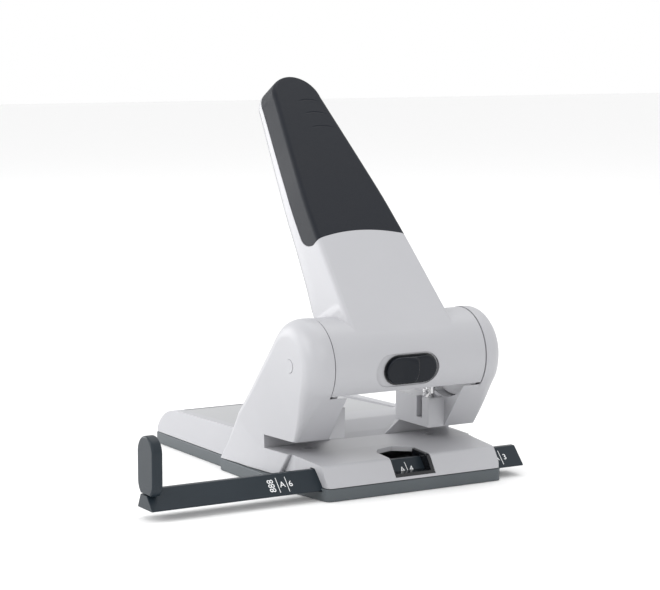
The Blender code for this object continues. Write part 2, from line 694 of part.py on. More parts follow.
def barrel():
    """The round housing across the arms: a shell open behind and below, with end walls."""
    centre = (PIVOT_Y, PIVOT_Z)
    section = (arc(centre, BARREL_RADIUS, 217, 45, 30)
               + arc(centre, BARREL_RADIUS - BARREL_WALL, 45, 217, 24))
    made = prism("barrel", section, SIDE_VIEW, -BARREL_HALF, BARREL_HALF)
    for side, sign in SIDES:
        middle = sign * (BARREL_HALF - CHEEK_THICK / 2 - 4 * SKIM)
        join(made, rod("cheek_" + side, "X", (middle, *centre), BARREL_RADIUS - 0.0008,
                       CHEEK_THICK, 48))
    cut(made, rod("cheek_bores", "X", (0.0, *centre), AXLE_RADIUS + RUN, 0.1, 32),
        rod("bolt_hole", "X", (-0.046, *bolt_place()), BOLT_RADIUS + GAP, 0.008, 16))
    return made


def lever_outline(room=0.0):
    """Side view of a punching lever, or of the space it needs with room round it."""
    hub = LEVER_HUB + room
    under, over = LEVER_UNDER + room, 0.007 + room
    start = math.degrees(math.asin(under / hub))
    outline = arc((0.0, 0.0), hub, 90, 360 - start, 16)
    outline += [(LEVER_REACH + room, -under), (LEVER_REACH + room, 0.001 + room), (0.012, over)]
    turn = HANDLE_SWING / 2     # above level at rest, half the handle's swing
    return [(PIVOT_Y + u * math.cos(turn) - v * math.sin(turn),
             PIVOT_Z + u * math.sin(turn) + v * math.cos(turn)) for u, v in outline]


def lever_room(side, sign):
    centre = sign * PIN_SPACING / 2
    half = LEVER_HALF + GAP
    return prism("lever_room_" + side, lever_outline(GAP), SIDE_VIEW, centre - half, centre + half)


def build_handle():
    front = BARREL_RADIUS - 0.0004
    shell = beam("handle_shell", HANDLE_ROOT, 0.0, front, 0.0)
    grip_room = grip_zone("grip_room", GRIP_START, front - GRIP_DEPTH - GAP, 0.05)
    cut(shell, grip_room)
    core = beam("handle_core", GRIP_START - 0.004, GRIP_THICK + GAP, front - GRIP_THICK - GAP,
                -0.0005)
    join(shell, core)

    hollow = beam("handle_hollow", -0.020, GRIP_THICK + HANDLE_WALL + GAP,
                  front - GRIP_THICK - GAP - HANDLE_WALL, 0.060)
    cut(shell, hollow)
    join(shell, barrel())
    cut(shell, lock_recess(), lock_slot(), *[lever_room(*place) for place in SIDES])
    finish(shell, LIGHT_GREY, HANDLE_AXIS)

    grip = beam("grip_pad", 0.050, 0.0, front, 0.0)
    boolean(grip, grip_zone("grip_limit", GRIP_START + GAP, front - GRIP_DEPTH, 0.05),
            "INTERSECT")
    cut(grip, beam("grip_core", 0.030, GRIP_THICK, front - GRIP_THICK, -0.0005))
    finish(grip, GRIP_RUBBER, HANDLE_AXIS)

    cover = beam("handle_rear_cover", 0.046, GRIP_THICK + HANDLE_WALL + COVER_ROOM, 0.0, 0.0,
                 COVER_THICK)
    finish(cover, DARK_PLASTIC, HANDLE_AXIS)


# ---------------------------------------------------------------- handle lock
def bolt_place():
    return (PIVOT_Y - BOLT_OFFSET * math.cos(BUTTON_ANGLE),
            PIVOT_Z + BOLT_OFFSET * math.sin(BUTTON_ANGLE))


def lock_plane():
    """u along X, v up round the barrel, w straight out through the button."""
    out = Vector((0.0, -math.cos(BUTTON_ANGLE), math.sin(BUTTON_ANGLE)))
    up = Vector((0.0, math.sin(BUTTON_ANGLE), math.cos(BUTTON_ANGLE)))
    turn = Matrix.Identity(4)
    for column, direction in enumerate((Vector((1.0, 0.0, 0.0)), up, out)):
        for row in range(3):
            turn[row][column] = direction[row]
    return Matrix.Translation(PIVOT) @ turn


def lock_recess():
    half = BUTTON_LENGTH / 2 + 0.0011 + BUTTON_TRAVEL / 2
    return prism("lock_recess", stadium((-BUTTON_TRAVEL / 2, 0.0), half, BUTTON_HEIGHT / 2 + 0.0012),
                 lock_plane(), BARREL_RADIUS - 0.0015, 0.04)


def lock_slot():
    return prism("lock_slot", stadium((-BUTTON_TRAVEL / 2, 0.0), 0.010, 0.0028),
                 lock_plane(), 0.015, 0.03)


def build_lock():
    button = prism("lock_button", stadium((0.0, 0.0), BUTTON_LENGTH / 2, BUTTON_HEIGHT / 2),
                   lock_plane(), BARREL_RADIUS - 0.0015 + GAP, BARREL_RADIUS + 0.0012)
    crest = rod("button_crest", "Z", (0.0, 0.0, 0.0), 0.0075, 0.0120, 24)
    crest.matrix_world = lock_plane() @ Matrix.Translation((0.0, 0.0, BARREL_RADIUS - 0.0034)) \
        @ Matrix.Rotation(math.pi / 2, 4, "X")
    join(button, crest)
    boolean(button, prism("button_limit", stadium((0.0, 0.0), 0.020, BUTTON_HEIGHT / 2),
                          lock_plane(), BARREL_RADIUS - 0.0015 + GAP, 0.06), "INTERSECT")
    finish(button, DARK_PLASTIC, LOCK_AXIS)

    bolt = rod("lock_bolt", "X", (-0.020, *bolt_place()), BOLT_RADIUS, 0.044, 16)
    stem = prism("bolt_stem", stadium((0.0, 0.0), 0.005, 0.0024), lock_plane(), BOLT_OFFSET,
                 BARREL_RADIUS - 0.0015)
    join(bolt, stem)
    finish(bolt, BRIGHT_STEEL, LOCK_AXIS)


build_handle()
build_lock()


# ---------------------------------------------------------------- punching mechanism
def build_mechanism():
    for side, sign in SIDES:
        centre = sign * PIN_SPACING / 2
        lever = prism("punch_lever_" + side, lever_outline(), SIDE_VIEW,
                      centre - LEVER_HALF, centre + LEVER_HALF)
        cut(lever, rod("lever_bore_" + side, "X", (centre, PIVOT_Y, PIVOT_Z),
                       AXLE_RADIUS + RUN, 0.02, 32),
            rod("bolt_room_" + side, "X", (centre, *bolt_place()), BOLT_RADIUS + GAP, 0.02, 16))
        finish(lever, BRIGHT_STEEL, HANDLE_AXIS)
        pin = rod("punch_pin_" + side, "Z", (centre, 0.0, (PIN_TIP + PIN_TOP) / 2),
                  PIN_RADIUS, PIN_TOP - PIN_TIP, 24)
        join(pin, rod("pin_head_" + side, "Z", (centre, 0.0, PIN_TOP - 0.0009), PIN_HEAD,
                      0.0020, 24))
        finish(pin, BRIGHT_STEEL, PIN_AXES[side])
        low = 0.0465
        high = PIN_TOP - 0.0025
        coil("pin_spring_" + side, "Z", (centre, 0.0, (low + high) / 2), 0.0037, 0.0007,
             high - low - 0.0010, 6, SPRING_STEEL)
    coil("return_spring", "X", (0.0, PIVOT_Y, PIVOT_Z), 0.0082, 0.0015, 0.036, 9, SPRING_STEEL)


build_mechanism()


# ---------------------------------------------------------------- guide bar
def build_bar():
    bar = prism("guide_bar", bar_profile(), SIDE_VIEW, BAR_LEFT, BAR_RIGHT)
    inner = BAR_LEFT + PADDLE_THICK
    middle = (BAR_FRONT + BAR_REAR) / 2 - 0.0003
    notch = box("bar_notch", (BAR_LEFT - 0.001, BAR_FRONT - 0.002, PADDLE_LOW - GAP),
                (inner + GAP, BAR_REAR + 0.002, BAR_TOP + 0.002))
    cut(bar, notch)
    finish(bar, BAR_PLASTIC, BAR_AXIS)
    half = PADDLE_WIDTH / 2
    outline = arc((middle, PADDLE_TOP - half), half, 0, 180, 14)
    outline += arc((middle, PADDLE_LOW + half * 0.8), half, 180, 360, 14)
    outline = [(y, max(z, PADDLE_LOW)) for y, z in outline]
    paddle = prism("stop_paddle", outline, SIDE_VIEW, BAR_LEFT, inner)
    round_edges(paddle, 0.0010, 2, 50)
    finish(paddle, BAR_PLASTIC, BAR_AXIS)

    slope = Vector((0.0, -0.0338 - BAR_FRONT, BAR_TOP - BAR_BOTTOM)).normalized()
    away = Vector((0.0, -slope.z, slope.y))
    base = Vector((0.0, BAR_FRONT, BAR_BOTTOM)) + slope * 0.0050 + away * 0.0010
    top = base + slope * 0.0090
    lens = prism("scale_lens", [(base.y, base.z), (top.y, top.z),
                                (top.y + away.y * 0.001, top.z + away.z * 0.001),
                                (base.y + away.y * 0.001, base.z + away.z * 0.001)],
                 SIDE_VIEW, -0.0120, 0.0120)
    finish(lens, CLEAR)

    leaf = box("detent_spring", (-0.018, -0.0365, 0.0036), (0.018, -0.0315, 0.0041))
    finish(leaf, SPRING_STEEL)


build_bar()
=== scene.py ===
"""Looks of a heavy two-hole desk punch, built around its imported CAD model.

Sizes and places are in millimetres, in the CAD frame, and solid() turns them into metres.
Each helper makes one mesh, and each section builds the pieces of one region.
"""
import math

import bmesh
import bpy
import numpy as np
from mathutils import Matrix, Vector


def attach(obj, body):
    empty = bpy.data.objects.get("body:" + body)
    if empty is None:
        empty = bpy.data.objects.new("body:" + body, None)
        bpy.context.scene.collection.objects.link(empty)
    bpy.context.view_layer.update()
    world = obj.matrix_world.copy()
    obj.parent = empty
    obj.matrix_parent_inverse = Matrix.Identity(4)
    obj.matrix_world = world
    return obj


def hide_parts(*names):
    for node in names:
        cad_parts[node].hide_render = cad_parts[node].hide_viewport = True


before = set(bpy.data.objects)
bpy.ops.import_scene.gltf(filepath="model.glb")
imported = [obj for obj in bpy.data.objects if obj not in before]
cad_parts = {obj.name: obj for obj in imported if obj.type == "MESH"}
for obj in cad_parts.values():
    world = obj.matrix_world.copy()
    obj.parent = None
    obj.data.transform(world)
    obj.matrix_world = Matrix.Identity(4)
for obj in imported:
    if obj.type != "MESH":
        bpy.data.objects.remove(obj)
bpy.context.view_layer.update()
MM = 0.001

# ---------------------------------------------------------------- sizes shared by pieces
PIVOT = Vector((0.0, -18.5, 68.6))          # middle of the handle's axle
LEAN = math.radians(43.3)                   # the handle leans back from the vertical
UP = Vector((0.0, math.sin(LEAN), math.cos(LEAN)))
OUT = Vector((0.0, -math.cos(LEAN), math.sin(LEAN)))
BARREL_R = 24.6
BARREL_HALF = 47.55
BARREL_WALL = 2.6
HANDLE_TIP = 185.6
GRIP_START = 65.0
GRIP_DEPTH = 12.5                           # how far the grip wraps down the sides
SEAM = 0.25                                 # visible gap between grip and handle
ARM_INNER = 48.2
ARM_OUTER = 61.6
ARM_HEAD_R = 24.9                           # just over the barrel, so the two look flush
BODY_BOTTOM = 7.0
ARM_REAR = 56.0
TABLE_TOP = 19.6
BAR_LEFT, BAR_RIGHT = -154.5, 74.1
SLOPE_LOW = Vector((0.0, -43.1, 5.2))       # lower and upper edge of the bar's sloping face
SLOPE_HIGH = Vector((0.0, -33.8, 15.3))
BUTTON_LEAN = math.radians(-8)              # round the barrel, from straight ahead
BOLT_OFFSET = 16.5                          # lock bolt from the axle, under the button
PIN_X = 40.0                                # each punch pin from the middle
DECK_SIDE = 60.2                            # half the rear deck's width
DECK_REAR = 146.0
PADDLE_LOW, PADDLE_TOP = 12.8, 43.0
PADDLE_THICK = 6.0


# ---------------------------------------------------------------- planes
def side_view(u, v, w):
    """u back along Y, v up, w along X."""
    return (w, u, v)


def plan(u, v, w):
    return (u, v, w)


def on_handle(u, v, w):
    """u across the handle, v up along it from the axle, w out of its front face."""
    return tuple(PIVOT + Vector((u, 0.0, 0.0)) + UP * v + OUT * w)


def on_lock(u, v, w):
    """u along the barrel, v up round it, w straight out through the lock button."""
    out = Vector((0.0, -math.cos(BUTTON_LEAN), math.sin(BUTTON_LEAN)))
    up = Vector((0.0, math.sin(BUTTON_LEAN), math.cos(BUTTON_LEAN)))
    return tuple(PIVOT + Vector((u, 0.0, 0.0)) + up * v + out * w)


def on_slope(u, v, w):
    """u along the guide bar, v up its sloping face, w out of that face."""
    up = (SLOPE_HIGH - SLOPE_LOW).normalized()
    out = Vector((0.0, -up.z, up.y))
    return tuple(SLOPE_LOW + Vector((u, 0.0, 0.0)) + up * v + out * w)


# ---------------------------------------------------------------- mesh helpers
def solid(name, verts, faces):
    """A closed mesh from points in millimetres, with its faces turned out."""
    shape = bmesh.new()
    made = [shape.verts.new(Vector(v) * MM) for v in verts]
    for face in faces:
        shape.faces.new([made[i] for i in face])
    bmesh.ops.recalc_face_normals(shape, faces=shape.faces)
    if shape.calc_volume(signed=True) < 0:
        bmesh.ops.reverse_faces(shape, faces=shape.faces)
    mesh = bpy.data.meshes.new(name)
    shape.to_mesh(mesh)
    shape.free()
    obj = bpy.data.objects.new(name, mesh)
    bpy.context.scene.collection.objects.link(obj)
    return obj


def loft(name, rings):
    """Rings of the same number of points, joined by quads and closed at both ends."""
    count = len(rings[0])
    verts = [p for ring in rings for p in ring]
    faces = []
    for k in range(len(rings) - 1):
        for i in range(count):
            j = (i + 1) % count
            faces.append((k * count + i, k * count + j, (k + 1) * count + j, (k + 1) * count + i))
    last = (len(rings) - 1) * count
    faces.append(tuple(range(count)))
    faces.append(tuple(range(last, last + count)))
    return solid(name, verts, faces)


def prism(name, outline, plane, low, high):
    return loft(name, [[plane(u, v, w) for u, v in outline] for w in (low, high)])


def arc(centre, radius, start, end, steps):
    """Points on a circle from one angle to another, in degrees."""
    turns = [math.radians(start + (end - start) * i / steps) for i in range(steps + 1)]
    return [(centre[0] + radius * math.cos(t), centre[1] + radius * math.sin(t)) for t in turns]


def rounded(corners, steps=6):
    """A polygon whose corners (u, v, radius) are rounded."""
    outline = []
    count = len(corners)
    for i, (u, v, radius) in enumerate(corners):
        here = Vector((u, v))
        before = Vector(corners[i - 1][:2]) - here
        after = Vector(corners[(i + 1) % count][:2]) - here
        if radius <= 0:
            outline.append((u, v))
            continue
        half = before.angle(after) / 2
        reach = radius / math.tan(half)
        start = here + before.normalized() * reach
        end = here + after.normalized() * reach
        centre = here + (before.normalized() + after.normalized()).normalized() \
            * (radius / math.sin(half))
        spoke = start - centre
        sweep = spoke.angle_signed(end - centre)
        for k in range(steps + 1):
            turned = Matrix.Rotation(-sweep * k / steps, 2) @ spoke
            outline.append(tuple(centre + turned))
    return outline


def stadium(centre, half_length, half_width):
    run = half_length - half_width
    return (arc((centre[0] + run, centre[1]), half_width, -90, 90, 12)
            + arc((centre[0] - run, centre[1]), half_width, 90, 270, 12))


def rod(name, axis, centre, radius, length, sides=48):
    """A cylinder along X or Z, from its middle."""
    turn = {"X": lambda a, b, c: (c, a, b), "Z": lambda a, b, c: (a, b, c)}[axis]
    rings = []
    for along in (-length / 2, length / 2):
        ring = []
        for i in range(sides):
            t = 2 * math.pi * i / sides
            spoke = Vector(turn(radius * math.cos(t), radius * math.sin(t), along))
            ring.append(tuple(Vector(centre) + spoke))
        rings.append(ring)
    return loft(name, rings)


def block(name, low, high):
    ring = [(low[0], low[1]), (high[0], low[1]), (high[0], high[1]), (low[0], high[1])]
    return prism(name, ring, plan, low[2], high[2])


def combine(obj, operation, *tools):
    """Boolean with each tool in turn; the tools are used up."""
    for tool in tools:
        step = obj.modifiers.new("shape", "BOOLEAN")
        step.operation = operation
        step.solver = "EXACT"
        step.object = tool
        settle(obj)
        bpy.data.objects.remove(tool, do_unlink=True)
    return obj


def settle(obj):
    """Make the modifiers' result the object's own mesh."""
    bpy.context.view_layer.update()
    evaluated = obj.evaluated_get(bpy.context.evaluated_depsgraph_get())
    mesh = bpy.data.meshes.new_from_object(evaluated)
    obj.modifiers.clear()
    obj.data = mesh
    return obj


def soften(obj, width, segments=3, angle=35):
    """Round every edge sharper than angle."""
    bevel = obj.modifiers.new("soft", "BEVEL")
    bevel.width = width * MM
    bevel.segments = segments
    bevel.limit_method = "ANGLE"
    bevel.angle_limit = math.radians(angle)
    bevel.use_clamp_overlap = True
    bevel.miter_outer = "MITER_ARC"
    return obj


def tidy(obj, dist=0.002):
    """Weld the crumbs that booleans leave."""
    shape = bmesh.new()
    shape.from_mesh(obj.data)
    bmesh.ops.remove_doubles(shape, verts=shape.verts, dist=dist * MM)
    bmesh.ops.dissolve_degenerate(shape, edges=shape.edges, dist=dist * MM)
    shape.to_mesh(obj.data)
    shape.free()
    return obj


def finish(obj, surface, slot, body, *nodes, smooth=40):
    """Surface, smooth shading and the body that the piece rides on."""
    settle(obj)
    obj.data.materials.clear()
    obj.data.materials.append(surface)
    obj.data.shade_smooth()
    obj.data.set_sharp_from_angle(angle=math.radians(smooth))
    weigh = obj.modifiers.new("even_normals", "WEIGHTED_NORMAL")
    weigh.keep_sharp = True
    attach(obj, body)
    if nodes:
        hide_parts(*nodes)
    return obj


# ---------------------------------------------------------------- materials
def surface(name, colour, roughness, metallic=0.0, grain=900.0, bump=0.05, tint=0.06,
            streak=(1.0, 1.0, 1.0), coat=0.0, shine=0.5):
    """Satin surface: a fine moulded or sprayed grain, and colour and gloss that drift a little.

    grain is the fineness of the bump per metre, and streak stretches it along one axis.
    """
    made = bpy.data.materials.new(name)
    made.use_nodes = True
    nodes = made.node_tree.nodes
    links = made.node_tree.links
    shader = nodes["Principled BSDF"]
    shader.inputs["Metallic"].default_value = metallic
    shader.inputs["Specular IOR Level"].default_value = shine
    shader.inputs["Coat Weight"].default_value = coat
    shader.inputs["Coat Roughness"].default_value = 0.25
    place = nodes.new("ShaderNodeTexCoord")
    scaled = nodes.new("ShaderNodeMapping")
    scaled.inputs["Scale"].default_value = streak
    links.new(place.outputs["Object"], scaled.inputs["Vector"])

    drift = nodes.new("ShaderNodeTexNoise")
    drift.inputs["Scale"].default_value = 35.0
    drift.inputs["Detail"].default_value = 4.0
    links.new(scaled.outputs["Vector"], drift.inputs["Vector"])
    shades = nodes.new("ShaderNodeValToRGB")
    shades.color_ramp.elements[0].position = 0.3
    shades.color_ramp.elements[1].position = 0.7
    shades.color_ramp.elements[0].color = (*[c * (1 - tint) for c in colour], 1.0)
    shades.color_ramp.elements[1].color = (*[min(1.0, c * (1 + tint)) for c in colour], 1.0)
    links.new(drift.outputs["Fac"], shades.inputs["Fac"])
    links.new(shades.outputs["Color"], shader.inputs["Base Color"])

    gloss = nodes.new("ShaderNodeMapRange")
    gloss.inputs["To Min"].default_value = roughness - 0.05
    gloss.inputs["To Max"].default_value = roughness + 0.05
    links.new(drift.outputs["Fac"], gloss.inputs["Value"])
    links.new(gloss.outputs["Result"], shader.inputs["Roughness"])

    fine = nodes.new("ShaderNodeTexNoise")
    fine.inputs["Scale"].default_value = grain
    fine.inputs["Detail"].default_value = 3.0
    links.new(scaled.outputs["Vector"], fine.inputs["Vector"])
    relief = nodes.new("ShaderNodeBump")
    relief.inputs["Strength"].default_value = bump
    relief.inputs["Distance"].default_value = 0.0003
    links.new(fine.outputs["Fac"], relief.inputs["Height"])
    links.new(relief.outputs["Normal"], shader.inputs["Normal"])
    return made


LACQUER = surface("light_grey_lacquer", (0.400, 0.402, 0.422), 0.42, coat=0.1, tint=0.012,
                  bump=0.06, grain=1400)
SHELL_PLASTIC = surface("light_grey_plastic", (0.405, 0.407, 0.427), 0.48, tint=0.015,
                        bump=0.12, grain=1500)
PANEL = surface("light_grey_panel", (0.40, 0.405, 0.415), 0.55, tint=0.02, bump=0.2, grain=1800)
TRAY_PLASTIC = surface("dark_plastic", (0.080, 0.092, 0.100), 0.45, tint=0.05, bump=0.25,
                       grain=1600, shine=0.35)
GRIP_PLASTIC = surface("grip_plastic", (0.006, 0.008, 0.013), 0.46, tint=0.05, bump=0.35,
                       grain=1800, shine=0.20)
BAR_PLASTIC = surface("bar_plastic", (0.013, 0.020, 0.027), 0.38, tint=0.06, bump=0.15,
                      grain=1600, shine=0.28)
BUTTON_PLASTIC = surface("button_plastic", (0.005, 0.007, 0.011), 0.26, tint=0.05, bump=0.15,
                         grain=1700, shine=0.22)
BLACK = surface("window_black", (0.006, 0.007, 0.009), 0.22, tint=0.1, bump=0.1)
STEEL = surface("bright_steel", (0.60, 0.60, 0.61), 0.26, metallic=1.0, tint=0.04, bump=0.12,
                grain=500, streak=(1.0, 1.0, 9.0))
SPRING = surface("spring_steel", (0.36, 0.36, 0.38), 0.34, metallic=1.0, tint=0.05, bump=0.1)
RUBBER = surface("pad_rubber", (0.02, 0.02, 0.021), 0.85, tint=0.15, bump=0.5)
PRINT = surface("white_print", (0.80, 0.81, 0.82), 0.5, tint=0.03, bump=0.1)


# ---------------------------------------------------------------- camera, light and floor
def aim(obj, place, target):
    obj.location = place
    direction = Vector(target) - Vector(place)
    obj.rotation_euler = direction.to_track_quat("-Z", "Y").to_euler()


def camera():
    data = bpy.data.cameras.new("view")
    data.lens = 114.06
    data.clip_end = 20.0
    made = bpy.data.objects.new("view", data)
    bpy.context.scene.collection.objects.link(made)
    made.location = (-0.6008, -0.9705, 0.2426)
    made.rotation_euler = (math.radians(82.92), 0.0, math.radians(-30.65))
    bpy.context.scene.camera = made


def lamp(name, place, target, size, power):
    data = bpy.data.lights.new(name, "AREA")
    data.shape = "RECTANGLE"
    data.size, data.size_y = size
    data.energy = power
    made = bpy.data.objects.new(name, data)
    bpy.context.scene.collection.objects.link(made)
    aim(made, place, target)


def studio():
    world = bpy.data.worlds.new("studio")
    bpy.context.scene.world = world
    world.use_nodes = True
    background = world.node_tree.nodes["Background"]
    background.inputs["Color"].default_value = (1.0, 1.0, 1.0, 1.0)
    background.inputs["Strength"].default_value = 1.0
    bpy.context.scene.view_settings.view_transform = "Standard"
    lamp("key", (-1.70, 0.35, 1.05), (0.0, 0.02, 0.08), (1.0, 1.0), 12.0)
    lamp("edge", (-0.95, 1.55, 0.45), (0.0, 0.02, 0.10), (1.0, 0.8), 12.0)
    lamp("front", (-0.40, -1.6, 1.25), (0.0, 0.0, 0.08), (1.2, 0.8), 5.0)
    lamp("top", (0.3, 0.3, 1.7), (0.0, 0.0, 0.0), (1.4, 1.4), 8.0)

    reach, under = 6000.0, -0.2
    base = solid("floor", [(-reach, -reach, under), (reach, -reach, under),
                           (reach, reach, under), (-reach, reach, under)], [(0, 1, 2, 3)])
    pale = surface("pale_floor", (0.93, 0.93, 0.93), 0.75, tint=0.003, bump=0.0)
    base.data.materials.append(pale)


camera()
studio()


# ---------------------------------------------------------------- handle
WIDTHS_V = (0.0, 18.0, 62.0, 93.0, 129.0, 158.0, 172.0, 190.0)
WIDTHS = (37.2, 36.0, 33.0, 30.2, 25.2, 21.0, 19.0, 16.4)      # half widths at the back face
BACK_V = (0.0, 32.0, 45.0, 73.0, 108.0, 171.0, 190.0)
BACK = (-6.5, -0.7, 2.4, 5.6, 6.8, 8.6, 9.1)                   # back face from the axle
TIP_R = 17.5                    # how far the round tip reaches past its shoulder
DRAFT = 4.6                     # each side narrows this much towards the front
FRONT_RIM = 2.3                 # radius of the front face's edges
ROOT_FILLET = 3.0               # radius where the sides meet the barrel
GROOVE_R = 0.95


def smooth_interp(x, xs, ys):
    """Interpolation with its corners averaged over 9 mm each way."""
    spots = np.linspace(x - 9.0, x + 9.0, 13)
    return float(np.interp(spots, xs, ys).mean())


def beam(name, inset=0.0, front=BARREL_R - 0.02, root=-0.2, drop=0.0):
    """The handle's tapering body: round tip, drafted sides, rounded front rim.

    inset draws it in all round, front is its front face, and drop lowers its back face.
    """
    shoulder = HANDLE_TIP - TIP_R
    stations = list(np.arange(root, 34.0, 1.4)) + list(np.arange(34.0, shoulder - 3.0, 4.3))
    side = [(smooth_interp(v, WIDTHS_V, WIDTHS), v) for v in stations]
    reach = smooth_interp(shoulder, WIDTHS_V, WIDTHS)
    for k in range(15):
        t = math.radians(88.0 * k / 14)
        side.append((reach * math.cos(t), shoulder + TIP_R * math.sin(t)))
    side = np.array(side)
    slope = np.gradient(side, axis=0)
    normal = np.stack([slope[:, 1], -slope[:, 0]], axis=1)
    normal /= np.linalg.norm(normal, axis=1)[:, None]
    rim = [math.radians(t) for t in (0, 18, 36, 54, 72, 90)]
    levels = [(t, 0.0, 0.0) for t in (0.0, 0.12, 0.35, 0.6, 0.85)]
    levels += [(1.0, FRONT_RIM * (1 - math.cos(t)), FRONT_RIM * (1 - math.sin(t))) for t in rim]
    rings = []
    for part, pull, sink in levels:
        right = []
        for (u, v), (nu, nv) in zip(side, normal):
            back = smooth_interp(v, BACK_V, BACK)
            low_rim = 0.9 if part == 0.0 else 0.0
            w = back - drop + (front - back + drop) * part - sink
            lean = max(0.0, w - back) / (BARREL_R - back)
            inward = inset + pull + low_rim + DRAFT * lean
            away = math.hypot(v, w) - BARREL_R
            flare = 0.0
            if away < ROOT_FILLET and inset == 0.0:
                k = (ROOT_FILLET - max(away, 0.0)) / ROOT_FILLET
                deep = min(1.0, max(0.0, BARREL_R - w) / 7.0)
                flare = ROOT_FILLET * (1 - math.sqrt(max(0.0, 1 - k * k))) * deep
            right.append((u - inward * nu + flare, v - 0.4 * inward * nv, w))
        rings.append(right)
    count = len(side)
    verts = []
    for ring in rings:
        verts += [on_handle(u, v, w) for u, v, w in ring]
        verts += [on_handle(-u, v, w) for u, v, w in reversed(ring)]
    faces = []
    total = 2 * count
    for k in range(len(rings) - 1):
        for i in range(total):
            j = (i + 1) % total
            faces.append((k * total + i, k * total + j, (k + 1) * total + j, (k + 1) * total + i))
    for k in (0, len(rings) - 1):
        for i in range(count - 1):
            faces.append((k * total + i, k * total + i + 1,
                          k * total + total - 2 - i, k * total + total - 1 - i))
    return solid(name, verts, faces)


def grip_zone(name, gap=0.0):
    """Above an arched lower edge in front, and in front of a line along the sides."""
    arch = [(u, GRIP_START + gap + 4.3 * (1 - (u / 28.0) ** 2)) for u in
            [30.0 - 60.0 * i / 24 for i in range(25)]]
    outline = [(60.0, GRIP_START - 3.0), (60.0, 230.0), (-60.0, 230.0),
               (-60.0, GRIP_START - 3.0)] + list(reversed(arch))
    front = prism(name, outline, on_handle, 0.0, 45.0)
    wrap = BARREL_R - GRIP_DEPTH + gap
    side = rounded([(GRIP_START - 1.0 + gap, 50.0, 0), (GRIP_START - 1.0 + gap, wrap, 10.5),
                    (240.0, wrap, 0), (240.0, 50.0, 0)], 10)

    def across(u, v, w):
        return on_handle(w, u, v)

    return combine(front, "INTERSECT", prism(name + "_side", side, across, -70.0, 70.0))


def barrel():
    """The round housing: open behind and below, with end walls and eased edges."""
    centre = (PIVOT.y, PIVOT.z)
    lip, back = 217, 45
    section = (arc(centre, BARREL_R, lip, back, 72)
               + arc(centre, BARREL_R - BARREL_WALL, back, lip, 60))
    made = prism("barrel", section, side_view, -BARREL_HALF, BARREL_HALF)
    for sign in (-1, 1):
        combine(made, "UNION", rod("cheek", "X", (sign * (BARREL_HALF - 3.4), *centre),
                                   BARREL_R - 0.8, 3.0, 72))
    return combine(made, "DIFFERENCE", rod("bore", "X", (0.0, *centre), 6.4, 110.0),
                   rod("bolt_hole", "X", on_lock(-46.0, 0.0, BOLT_OFFSET), 2.4, 12.0))


def handle():
    """Handle shell with the barrel, and the grip with its three thumb grooves."""
    body = beam("handle_shell_look")
    combine(body, "DIFFERENCE", grip_zone("grip_room", 0.0))
    combine(body, "UNION", beam("core", 2.2, BARREL_R - 2.4, 58.0, -0.4))
    combine(body, "DIFFERENCE", beam("hollow", 5.0, BARREL_R - 5.4, -18.0, 16.0))
    combine(body, "UNION", barrel())
    recess = prism("recess", stadium((-2.5, 0.0), 19.9, 9.1), on_lock, BARREL_R - 2.2, 40.0)
    slot = prism("slot", stadium((-2.5, 0.0), 10.0, 2.8), on_lock, 15.0, 40.0)
    combine(body, "DIFFERENCE", recess, slot)
    tidy(body)
    soften(body, 0.35, 2, 42)
    finish(body, LACQUER, "light_grey_lacquer", "handle", "handle_shell", smooth=32)

    grip = beam("grip_look", root=40.0)
    combine(grip, "INTERSECT", grip_zone("grip_limit", SEAM))
    combine(grip, "DIFFERENCE", beam("grip_core", 2.0, BARREL_R - 2.1, 20.0, -0.4))
    for v, half in ((163.5, 12.6), (154.0, 14.0), (143.5, 15.6)):
        path = [(-3.5 + (half + 3.5) * t, v + 1.9 * math.sin(math.pi * t)) for t in
                np.linspace(0.0, 1.0, 15)]
        groove = []
        for i, (u, along) in enumerate(path):
            depth = 0.05 + 0.20 * min(1.0, i / 4.0) * min(1.0, (14 - i) / 3.0)
            high = BARREL_R + GROOVE_R - depth
            turns = [2 * math.pi * k / 14 for k in range(14)]
            groove.append([on_handle(u, along + GROOVE_R * math.cos(t),
                                     high + GROOVE_R * math.sin(t)) for t in turns])
        combine(grip, "DIFFERENCE", loft("groove", groove))
    tidy(grip)
    soften(grip, 0.4, 3, 48)
    finish(grip, GRIP_PLASTIC, "grip_plastic", "handle", "grip_pad", smooth=32)


handle()


def rear_cover():
    """The dark plate that closes the handle's back; its edge shows as a thin line."""
    cover = beam("handle_rear_cover_look", 0.3, root=44.0, drop=0.9)
    combine(cover, "DIFFERENCE", beam("above", -3.0, 40.0, 30.0, -0.15))
    tidy(cover)
    soften(cover, 0.2, 2, 42)
    finish(cover, TRAY_PLASTIC, "dark_plastic", "handle", "handle_rear_cover", smooth=32)


rear_cover()


# ---------------------------------------------------------------- lock button
def button_height(u, v):
    """Rise of the button's face: a thumb ridge that swells from the left, steep on its right."""
    crest = -1.4 + 3.8 * math.sqrt(max(0.0, 1 - (v / 8.2) ** 2))
    width = 4.6 if u < crest else 0.85
    fade = max(0.0, 1 - (v / 7.6) ** 4)
    return 2.5 * math.exp(-((u - crest) / width) ** 2) * fade


